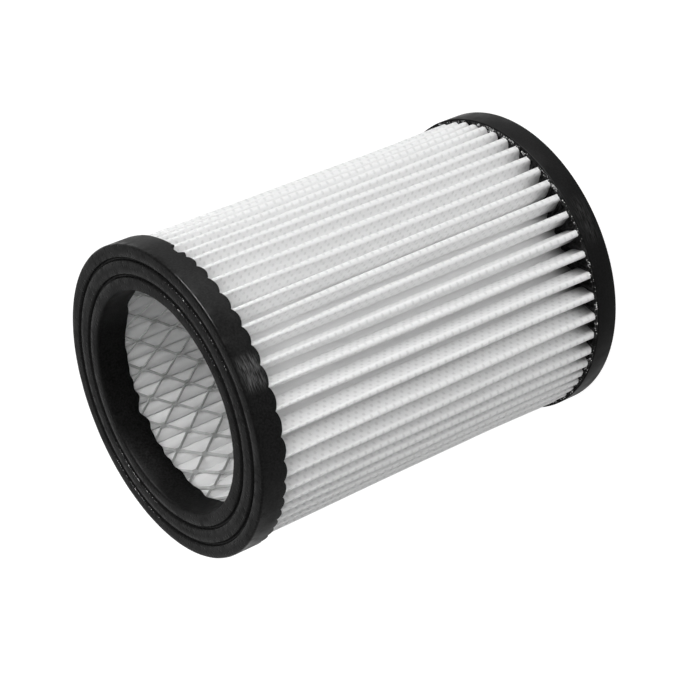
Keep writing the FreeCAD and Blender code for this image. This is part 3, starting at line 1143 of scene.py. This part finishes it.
@dataclass
class ExpandedCore:
    """The core tube: zigzag strands of slit and stretched sheet, joined at their bonds."""

    finish: ExpandedSteel
    radius: float = 32.92
    bottom: float = 3.0
    top: float = 122.0
    columns: int = 24
    pitch: float = 12.45
    bond: float = 1.5
    bond_row: float = 111.1
    bond_deg: float = 111.8
    strand_width: float = 0.82
    strand_thick: float = 0.4
    tilt_deg: float = -30.0

    def path(self, swing: Swing) -> list[tuple[float, float]]:
        """Draw the zigzag of one strand.

        Args:
            swing: Side that the strand leans to at the first row of bonds.

        Returns:
            Offsets round the tube and heights, from the bottom up.
        """
        spacing = math.pi * self.radius / self.columns
        width = self.strand_width * math.cos(math.radians(self.tilt_deg))
        side = swing.value * 0.5 * (spacing - width)
        row = math.ceil((self.bottom - self.bond_row) / (0.5 * self.pitch))
        spots = []
        while self.bond_row + 0.5 * row * self.pitch < self.top:
            middle = self.bond_row + 0.5 * row * self.pitch
            offset = side if row % 2 == 0 else -side
            spots.append((offset, middle - 0.5 * self.bond))
            spots.append((offset, middle + 0.5 * self.bond))
            row += 1
        return spots

    def strand(self, bm: bmesh.types.BMesh, swing: Swing, angle: float) -> None:
        """Extrude one strand along its zigzag and set it at its angle.

        Args:
            bm: Mesh that gets the strand.
            swing: Side that it leans to first.
            angle: Angle round the axis in radians.
        """
        spots = self.path(swing)
        made = bmesh.ops.create_grid(bm, x_segments=1, y_segments=1, size=0.5)["verts"]
        bmesh.ops.scale(bm, vec=(self.strand_thick, self.strand_width, 1.0), verts=made)
        turn = Matrix.Rotation(math.radians(self.tilt_deg), 3, "Z")
        bmesh.ops.rotate(bm, cent=ORIGIN, matrix=turn, verts=made)
        bmesh.ops.translate(bm, vec=(self.radius, spots[0][0], spots[0][1]), verts=made)
        strand = list(made)
        end = made[0].link_faces[0]
        for (offset, height), (next_offset, next_height) in zip(spots, spots[1:]):
            grown = bmesh.ops.extrude_face_region(bm, geom=[end])["geom"]
            fresh = [g for g in grown if isinstance(g, bmesh.types.BMVert)]
            end = next(g for g in grown if isinstance(g, bmesh.types.BMFace))
            step = (0.0, next_offset - offset, next_height - height)
            bmesh.ops.translate(bm, vec=step, verts=fresh)
            strand += fresh
        place = Matrix.Rotation(angle, 3, "Z")
        bmesh.ops.rotate(bm, cent=ORIGIN, matrix=place, verts=strand)

    def build(self) -> bpy.types.Object:
        """Make two neighbouring strands and repeat them round the tube.

        Returns:
            The core.
        """
        bm = bmesh.new()
        half = math.pi / self.columns
        first = math.radians(self.bond_deg) - 0.5 * half
        self.strand(bm, Swing.FORWARD, first)
        self.strand(bm, Swing.BACK, first + half)
        pair = bm.verts[:] + bm.edges[:] + bm.faces[:]
        more = self.columns - 1
        angle = math.tau * more / self.columns
        bmesh.ops.spin(bm, geom=pair, angle=angle, steps=more, use_duplicate=True, **ABOUT_Z)
        bmesh.ops.recalc_face_normals(bm, faces=bm.faces[:])
        return make_piece(bm, "expanded_core", 30.0, self.finish, Slot.STEEL, "support_tube")


# The studio


@dataclass(frozen=True)
class Lamp:
    """What every studio lamp has."""

    name: str
    place: tuple[float, float, float]
    aim: tuple[float, float, float]
    watts: float
    reach: Reach

    def hang(self, data: bpy.types.Light) -> None:
        """Hang the lamp in its place and point it at its aim.

        Args:
            data: The light, with its own shape set.
        """
        data.energy = self.watts
        lamp = bpy.data.objects.new(self.name, data)
        lamp.visible_diffuse = self.reach is Reach.MATT
        lamp.visible_glossy = self.reach is Reach.SHINE
        bpy.context.scene.collection.objects.link(lamp)
        lamp.location = self.place
        way = Vector(self.aim) - Vector(self.place)
        lamp.rotation_euler = way.to_track_quat("-Z", "Y").to_euler()


@dataclass(frozen=True)
class SoftBox(Lamp):
    """One studio lamp with a flat front."""

    wide: float
    tall: float

    def build(self) -> None:
        """Set up the lamp."""
        data = bpy.data.lights.new(self.name, "AREA")
        data.shape = "RECTANGLE"
        data.size = self.wide
        data.size_y = self.tall
        self.hang(data)


@dataclass(frozen=True)
class Snoot(Lamp):
    """One narrow lamp for a small place."""

    cone_deg: float
    softness: float
    blend: float = 0.4

    def build(self) -> None:
        """Set up the lamp."""
        data = bpy.data.lights.new(self.name, "SPOT")
        data.spot_size = math.radians(self.cone_deg)
        data.spot_blend = self.blend
        data.shadow_soft_size = self.softness
        self.hang(data)


PART_CENTRE = (0.0, 0.0, 0.06)
BORE_MOUTH = (0.0, 0.0, 0.125)
REAR_LIP = (0.026, -0.036, 0.008)
LAMPS = (
    SoftBox("key_box", (0.63, -0.73, 0.64), PART_CENTRE, 7.5, Reach.MATT, 1.0, 1.0),
    SoftBox("back_box", (-0.22, 1.0, 0.5), PART_CENTRE, 5.0, Reach.MATT, 0.8, 0.8),
    SoftBox("glint_box", (0.9, -0.4, 0.165), PART_CENTRE, 54.0, Reach.SHINE, 0.6, 0.2),
    Snoot("bore_snoot", (0.53, -0.16, 0.78), BORE_MOUTH, 9.0, Reach.MATT, 5.0, 0.02),
    Snoot("lip_snoot", (0.5, -0.5, 0.6), REAR_LIP, 60.0, Reach.SHINE, 6.0, 0.04),
)


@dataclass
class Studio:
    """Paper floor, soft lamps, even fill and the camera at the photograph's view."""

    paper: StudioPaper
    lamps: tuple[SoftBox | Snoot, ...]
    fill: float = 0.29
    floor_side: float = 8.0
    bounces: int = 16
    eye: tuple[float, float, float] = (0.11307, -0.53917, 0.4008)
    right: tuple[float, float, float] = (-0.27826, -0.55343, -0.78504)
    up: tuple[float, float, float] = (0.94254, 0.0, -0.33408)
    back: tuple[float, float, float] = (0.18489, -0.83290, 0.52163)
    lens: float = 117.48
    sensor: float = 36.0

    def floor(self) -> None:
        """Lay the paper under the part."""
        bm = bmesh.new()
        bmesh.ops.create_grid(bm, x_segments=1, y_segments=1, size=0.5 * self.floor_side / MM)
        sheet = make_piece(bm, "paper_floor", 30.0, self.paper)

    def world(self) -> None:
        """Fill the room with even light that the eye sees as white."""
        world = bpy.data.worlds.new("World_studio")
        bpy.context.scene.world = world
        world.use_nodes = True
        tree = world.node_tree
        tree.nodes.clear()
        levels = {"Value": eye_rays(tree), "To Min": self.fill, "To Max": 1.0}
        strength = add_node(tree, "MapRange", levels)
        sky = add_node(tree, "Background", {"Color": WHITE, "Strength": strength})
        add_node(tree, "OutputWorld", {"Surface": sky})

    def camera(self) -> None:
        """Set the camera where the photograph was taken from."""
        data = bpy.data.cameras.new("photo_view")
        data.lens = self.lens
        data.sensor_width = self.sensor
        camera = bpy.data.objects.new("photo_view", data)
        bpy.context.scene.collection.objects.link(camera)
        axes = Matrix((self.right, self.up, self.back)).transposed()
        camera.matrix_world = Matrix.Translation(self.eye) @ axes.to_4x4()
        bpy.context.scene.camera = camera

    def build(self) -> None:
        """Set up the floor, the light and the camera."""
        self.floor()
        self.world()
        for lamp in self.lamps:
            lamp.build()
        self.camera()
        scene = bpy.context.scene
        scene.view_settings.view_transform = "Standard"
        # Light goes to and fro in the white folds many times before it comes out
        scene.cycles.max_bounces = self.bounces
        scene.cycles.diffuse_bounces = self.bounces
        scene.cycles.transmission_bounces = self.bounces


def report(piece: bpy.types.Object) -> bpy.types.Object:
    """Log a finished piece.

    Args:
        piece: The piece.

    Returns:
        The same piece.
    """
    LOG.info("%s: %d faces", piece.name, len(piece.data.polygons))
    return piece


def main() -> None:
    """Build every piece in order."""
    logging.basicConfig(level=logging.INFO, format="%(name)s: %(message)s")
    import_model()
    layout = FoldLayout()
    wet = WetUrethane()
    front_cap = FrontCap(layout, CastUrethane())
    front = report(front_cap.build())
    report(EdgeFlash(front_cap, wet).build())
    rear_cap = RearCap(layout, CastUrethane("cast_urethane_black_rear", worn="#101010"))
    rear = report(rear_cap.build())
    report(LipFlash(rear_cap, wet).build())
    report(ExpandedCore(ExpandedSteel()).build())
    pack = PleatPack(layout, EmbossedNonwoven())
    media = report(pack.build())
    Studio(StudioPaper(), LAMPS).build()


if __name__ == "__main__":
    main()
